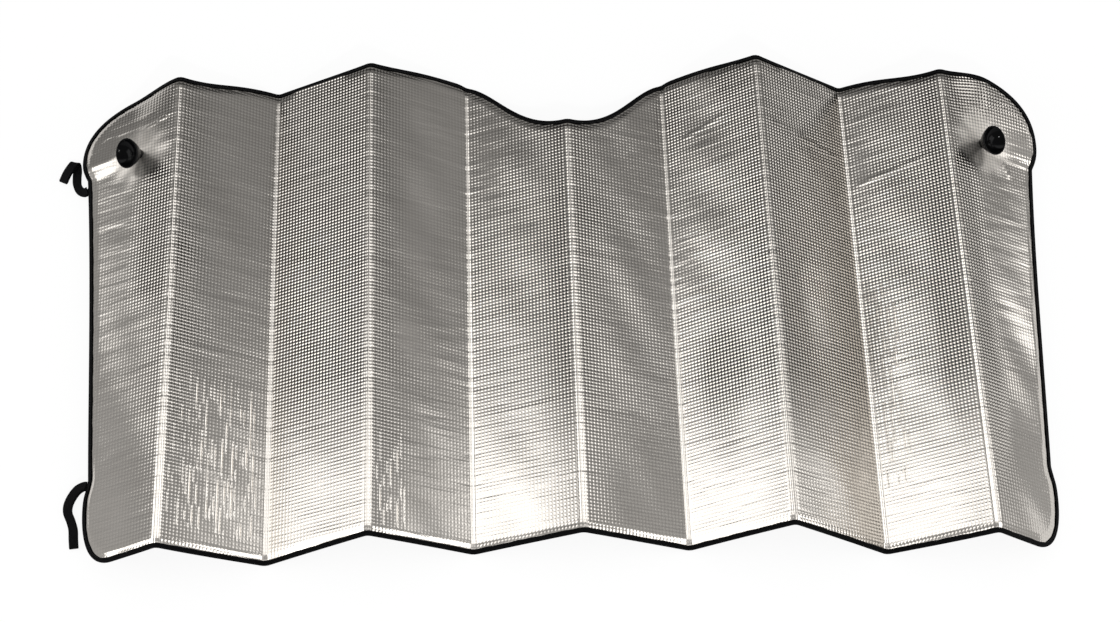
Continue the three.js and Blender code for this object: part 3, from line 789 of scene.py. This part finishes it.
def edge_tape(material):
    """A U-shaped section carried round the outline: rounded at the fold, with the inner borders of its legs
    gently wavy.
    """
    places, inward, run = even_outline(tape_step)
    turn = np.linspace(-np.pi / 2, np.pi / 2, 7)
    fold_out = 0.9 + tape_thickness
    outer_fold = np.stack([-fold_out * np.cos(turn), -tape_half * np.sin(turn)], axis=1)
    leg = np.linspace(tape_leg, 1.2, 4)
    inner_half = tape_half - tape_thickness
    outer = np.vstack([np.stack([leg, np.full(4, tape_half)], 1), outer_fold,
                       np.stack([leg[::-1], np.full(4, -tape_half)], 1)])
    inner_out = fold_out - tape_thickness
    inner_fold = np.stack([-inner_out * np.cos(turn[::2]), inner_half * np.sin(turn[::2])], 1)
    inner = np.vstack([np.stack([leg, np.full(4, -inner_half)], 1), inner_fold,
                       np.stack([leg[::-1], np.full(4, inner_half)], 1)])
    section = np.vstack([outer, inner])
    wave = 1 + 0.05 * np.sin(run / 7.3)[:, None] + 0.04 * np.sin(run / 2.9)[:, None]
    inwards = np.where(section[:, 0] > 2, section[None, :, 0] * wave, section[None, :, 0])
    place = places[:, None] + inward[:, None] * inwards[..., None]
    points = folded(place[..., 0], place[..., 1], np.broadcast_to(section[:, 1], place.shape[:2]))
    rings, sides = place.shape[:2]
    faces = ring_faces(rings, sides, closed=True)
    round_it = np.r_[0, np.cumsum(np.linalg.norm(np.diff(section, axis=0), axis=1))] * mm
    i = np.repeat(np.arange(rings), sides)
    k = np.tile(np.arange(sides), rings)
    u_here, u_next = i * tape_step * mm, (i + 1) * tape_step * mm
    v_here = round_it[k]
    v_next = np.r_[round_it[1:], round_it[-1] + tape_thickness * mm][k]
    uv = np.stack([np.stack([u_here, v_here], 1), np.stack([u_here, v_next], 1),
                   np.stack([u_next, v_next], 1), np.stack([u_next, v_here], 1)], axis=1)
    return new_piece("binding", points.reshape(-1, 3), faces, material, uv)


def stitches(material):
    """Lockstitches on both legs: each is a short thread, a six-sided section pinched at its two ends."""
    places, inward, _ = even_outline(stitch_pitch)
    ahead = np.stack([inward[:, 1], -inward[:, 0]], axis=1)
    s = np.linspace(-1, 1, 7)
    thick = np.sqrt(np.maximum(1 - s**4, 0.02))
    turn = np.arange(6) * np.pi / 3
    pieces, faces = [], []
    for leg in (1, -1):
        along = s[:, None] * stitch_length / 2 + 0 * turn
        across = thick[:, None] * np.cos(turn) * stitch_width / 2 + stitch_inset
        height = leg * (tape_half + thick[:, None] * (0.12 + np.sin(turn) * stitch_width / 2 * 0.8))
        place = (places[:, None, None] + ahead[:, None, None] * along[None, ..., None]
                 + inward[:, None, None] * across[None, ..., None])
        lift = np.broadcast_to(height, place.shape[:3])
        points = folded(place[..., 0], place[..., 1], lift)
        first = sum(len(p) for p in pieces)
        ring = ring_faces(len(s), 6)
        ends = np.array([[0, 1, 2, 3], [0, 3, 4, 5]])
        one = np.vstack([ring[:, ::-1] if leg < 0 else ring,
                         ends[:, ::-1] if leg > 0 else ends,
                         (ends if leg > 0 else ends[:, ::-1]) + 6 * (len(s) - 1)])
        starts = first + np.arange(len(places)) * 6 * len(s)
        faces.append((starts[:, None, None] + one[None]).reshape(-1, 4))
        pieces.append(points.reshape(-1, 3))
    return new_piece("binding_stitches", np.vstack(pieces), np.vstack(faces), material)


def thread_material():
    """Black polyester sewing thread: smoother and a little shinier than the tape that it holds."""
    material, tree = new_material("polyester_thread")
    place = node(tree, "ShaderNodeTexCoord").outputs["Object"]
    twist = node(tree, "ShaderNodeTexNoise", {"Vector": place, "Scale": 900, "Detail": 2})
    bump = node(tree, "ShaderNodeBump", {"Height": twist, "Strength": 0.5, "Distance": 0.1 * mm})
    shader = node(tree, "ShaderNodeBsdfPrincipled", {
        "Base Color": linear("#0c0c0e"), "Roughness": 0.5, "Specular IOR Level": 0.2, "Normal": bump})
    node(tree, "ShaderNodeOutputMaterial", {"Surface": shader})
    return material


woven_tape = tape_material()
tape = edge_tape(woven_tape)
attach(tape, "shade")
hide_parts("edge_binding")
thread = stitches(thread_material())
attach(thread, "shade")


# Suction cups
# Each is moulded in one piece of soft black vinyl, glossy all over. A mushroom head holds it in a punched
# hole of the end panel, so that it turns freely, and the open cup faces away from the foil.
cup_turns = 96
cup_neck = 3.6
cup_head = (6.5, 4.5)
cup_boss = (5.6, 4)
cup_rim = 17.5
cup_lip = 1.6
cup_height = 21
cup_bowl_depth = 9
cup_pip = 2.0
cup_play = 0.6
cup_clearance = 0.3
cup_lean = {"left": math.radians(20), "right": math.radians(9)}


def vinyl_material():
    """Glossy black vinyl: polished mould, with faint flow marks that vary its gloss."""
    material, tree = new_material("moulded_soft_vinyl")
    place = node(tree, "ShaderNodeTexCoord").outputs["Object"]
    flow = node(tree, "ShaderNodeTexNoise", {"Vector": place, "Scale": 120, "Detail": 3})
    bump = node(tree, "ShaderNodeBump", {"Height": flow, "Strength": 0.25, "Distance": 0.12 * mm})
    rough = node(tree, "ShaderNodeMapRange", {"Value": flow, "To Min": 0.08, "To Max": 0.16})
    shader = node(tree, "ShaderNodeBsdfPrincipled", {
        "Base Color": linear("#030304"), "Roughness": rough, "Specular IOR Level": 0.1, "Normal": bump})
    node(tree, "ShaderNodeOutputMaterial", {"Surface": shader})
    return material


def quadratic(a, b, c, count=12):
    """Points along a quadratic Bezier curve."""
    t = np.linspace(0, 1, count)[:, None]
    return (1 - t) ** 2 * np.array(a) + 2 * (1 - t) * t * np.array(b) + t**2 * np.array(c)


def suction_cup(name, joint, lean, material):
    """A profile turned about the joint's axis: head, neck, boss, flared wall, flat lip, bowl and pip.

    Heights count from the boss's lower face, which leans clear of the foil. The sheet's middle, where
    the axis crosses it, lies (s + c + b sin a) / cos a below it, for half a sheet s, clearance c, boss
    radius b and lean a.
    """
    radius, boss_height = cup_boss
    head_radius, head_depth = cup_head
    most = max(cup_lean.values())
    groove_painted_shade = (2 * sheet_half + 2 * cup_clearance + (radius + head_radius) * math.sin(most)) / math.cos(most)
    groove_painted_shade += cup_play
    distance = (sheet_half + cup_clearance + radius * math.sin(lean)) / math.cos(lean)
    inner = cup_rim - cup_lip
    floor_height = cup_height - cup_bowl_depth
    head = quadratic((0.01, -groove_painted_shade - head_depth), (head_radius, -groove_painted_shade - head_depth),
                     (head_radius, -groove_painted_shade - 0.4), 12)
    head = np.vstack([head, (head_radius - 0.3, -groove_painted_shade)])
    shank = np.array([(cup_neck + 0.3, -groove_painted_shade), (cup_neck, -groove_painted_shade + 0.3), (cup_neck, -0.3),
                      (cup_neck + 0.3, 0)])
    collar = np.array([(radius - 0.3, 0), (radius, 0.3), (radius, boss_height - 0.2)])
    flare = quadratic((radius + 0.1, boss_height), (cup_rim * 0.72, boss_height + 4.83),
                      (cup_rim, cup_height - 0.4), 24)
    lip = np.array([(cup_rim - 0.05, cup_height - 0.15), (cup_rim - 0.25, cup_height),
                    (inner + 0.4, cup_height), (inner + 0.1, cup_height - 0.15)])
    bowl = quadratic((inner, cup_height - 0.4), (cup_rim * 0.58, floor_height + 0.9),
                     (cup_pip, floor_height), 26)
    turn = np.linspace(0, np.pi / 2, 7)[1:]
    pip = np.stack([cup_pip * np.cos(turn) + 0.01, floor_height + cup_pip * np.sin(turn)], axis=1)
    profile = np.vstack([head, shank, collar, flare, lip, bowl, pip])
    axis = unit(np.array(joint["axis"], float))
    foot = np.array(joint["pos_m"], float) + distance * mm * axis
    aside = unit(np.cross(axis, [0, 1, 0]))
    other = np.cross(axis, aside)
    turn = np.linspace(0, 2 * np.pi, cup_turns, endpoint=False)
    spoke = np.cos(turn)[:, None] * aside + np.sin(turn)[:, None] * other
    points = foot + mm * (profile[None, :, :1] * spoke[:, None] + profile[None, :, 1:] * axis)
    rings, sides = points.shape[:2]
    i, k = np.meshgrid(np.arange(rings), np.arange(sides - 1), indexing="ij")
    j = (i + 1) % rings
    faces = np.stack([i * sides + k, j * sides + k, j * sides + k + 1, i * sides + k + 1], -1).reshape(-1, 4)
    first, last = rings * sides, rings * sides + 1
    ends = foot + mm * profile[[0, -1], 1:] * axis
    points = np.vstack([points.reshape(-1, 3), ends])
    ring = np.arange(rings)
    ahead = (ring + 1) % rings
    lids = [np.stack([np.full(rings, first), ahead * sides, ring * sides], 1),
            np.stack([np.full(rings, last), ring * sides + sides - 1, ahead * sides + sides - 1], 1)]
    return new_piece(name, points, np.vstack([faces[:, [0, 1, 2]], faces[:, [0, 2, 3]], *lids]), material)


soft_vinyl = vinyl_material()
joints = {joint["name"]: joint for joint in frame["record"]["behaviour"]["joints"]}
for side in ("left", "right"):
    cup = suction_cup(f"cup_{side}_piece", joints[f"cup_{side}_swivel"], cup_lean[side], soft_vinyl)
    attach(cup, f"cup_{side}")
    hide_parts(f"suction_cup_{side}")


# Floor and light
# A plain white floor and white surroundings, two large soft lamps, one at each side of the shade, and a
# small hard one in front that gives the vinyl its points of light.
def floor_material():
    """Matt white paper that the camera sees nearly as its own light, with the shade's shadow kept."""
    material, tree = new_material("white_paper")
    paper = node(tree, "ShaderNodeBsdfDiffuse", {"Color": linear("#f4f4f4")})
    white = node(tree, "ShaderNodeEmission", {"Color": (1, 1, 1, 1), "Strength": 1.05})
    seen = node(tree, "ShaderNodeLightPath").outputs["Is Camera Ray"]
    share = node(tree, "ShaderNodeMath", {0: seen, 1: 0.85}, operation="MULTIPLY")
    mixed = node(tree, "ShaderNodeMixShader", {"Fac": share, 1: paper, 2: white})
    node(tree, "ShaderNodeOutputMaterial", {"Surface": mixed})
    return material


floor_size = 30
floor = new_piece("floor", np.array([(-1, -1, 0), (1, -1, 0), (1, 1, 0), (-1, 1, 0)]) * floor_size / 2,
                  [(0, 1, 2, 3)], floor_material(), smooth=False)


room_tone = 0.22
soft_box_tone = 1.9
dark_tone = 0.05
mirrored_parts = [
    (0.42, [("Y", 0.66, 0.28)]),
    (soft_box_tone, [("X", -0.3, -0.5), ("Y", 0.50, 0.42), ("Y", 0.20, 0.30), ("Z", 0.27, 0.34),
                     ("Z", 0.72, 0.62)]),
    (soft_box_tone, [("X", 0.3, 0.5), ("Y", 0.47, 0.39), ("Y", 0.33, 0.38), ("Z", 0.10, 0.18),
                     ("Z", 0.50, 0.40)]),
    (soft_box_tone, [("X", 0.45, 0.55), ("X", 0.72, 0.67), ("Y", 0.52, 0.44), ("Z", 0.54, 0.58),
                     ("Z", 0.74, 0.68)]),
    (dark_tone, [("Y", 0.66, 0.72), ("Y", 0.90, 0.86), ("Z", 0.16, 0.26)]),
    (soft_box_tone, [("Y", 0.20, 0.35), ("Z", 0.74, 0.82)]),
]


def studio_world():
    """White where the camera looks, and a studio in the reflections.

    They see a mid grey room, lighter in front, with one soft box at the left, two at the right, one
    overhead and a dark screen behind the shade. Each part of the studio has its tone and its limits:
    an axis, where the part starts and where it is full.
    """
    world = bpy.data.worlds.new("studio")
    world.use_nodes = True
    tree = world.node_tree
    tree.nodes.clear()
    place = node(tree, "ShaderNodeTexCoord").outputs["Generated"]
    axes = node(tree, "ShaderNodeSeparateXYZ", {"Vector": place}).outputs
    tone = room_tone
    for part_tone, limits in mirrored_parts:
        share = 1.0
        for axis, start, full in limits:
            rise = node(tree, "ShaderNodeMapRange", {
                "Value": axes[axis], "From Min": start, "From Max": full}, interpolation_type="SMOOTHSTEP")
            share = node(tree, "ShaderNodeMath", {0: share, 1: rise}, operation="MULTIPLY")
        tone = node(tree, "ShaderNodeMix", {"Factor": share, "A": tone, "B": part_tone})
    path = node(tree, "ShaderNodeLightPath").outputs
    seen = node(tree, "ShaderNodeMath", {0: path["Is Camera Ray"], 1: path["Is Transmission Ray"]},
                operation="MAXIMUM")
    room = node(tree, "ShaderNodeBackground", {"Color": (0.8, 0.8, 0.8, 1), "Strength": 0.7})
    mirrored = node(tree, "ShaderNodeBackground", {"Color": (1, 1, 1, 1), "Strength": tone})
    white = node(tree, "ShaderNodeBackground", {"Color": (1, 1, 1, 1), "Strength": 1})
    first = node(tree, "ShaderNodeMixShader", {"Fac": path["Is Glossy Ray"], 1: room, 2: mirrored})
    second = node(tree, "ShaderNodeMixShader", {"Fac": seen, 1: first, 2: white})
    node(tree, "ShaderNodeOutputWorld", {"Surface": second})
    bpy.context.scene.world = world


def soft_lamp(name, place, size, power, target=(0, 0, 0)):
    """A rectangular lamp that faces its target."""
    data = bpy.data.lights.new(name, "AREA")
    data.shape = "RECTANGLE"
    data.size, data.size_y = size
    data.energy = power
    lamp = bpy.data.objects.new(name, data)
    lamp.location = place
    lamp.rotation_euler = (Vector(target) - Vector(place)).to_track_quat("-Z", "Y").to_euler()
    bpy.context.scene.collection.objects.link(lamp)


studio_world()
soft_lamp("lamp_left", (-3.0, -0.6, 1.5), (2.6, 1.6), 25)
soft_lamp("lamp_right", (3.0, -0.6, 1.5), (2.6, 1.6), 25)
soft_lamp("lamp_small", (0.3, -2.6, 2.6), (0.16, 0.16), 22)
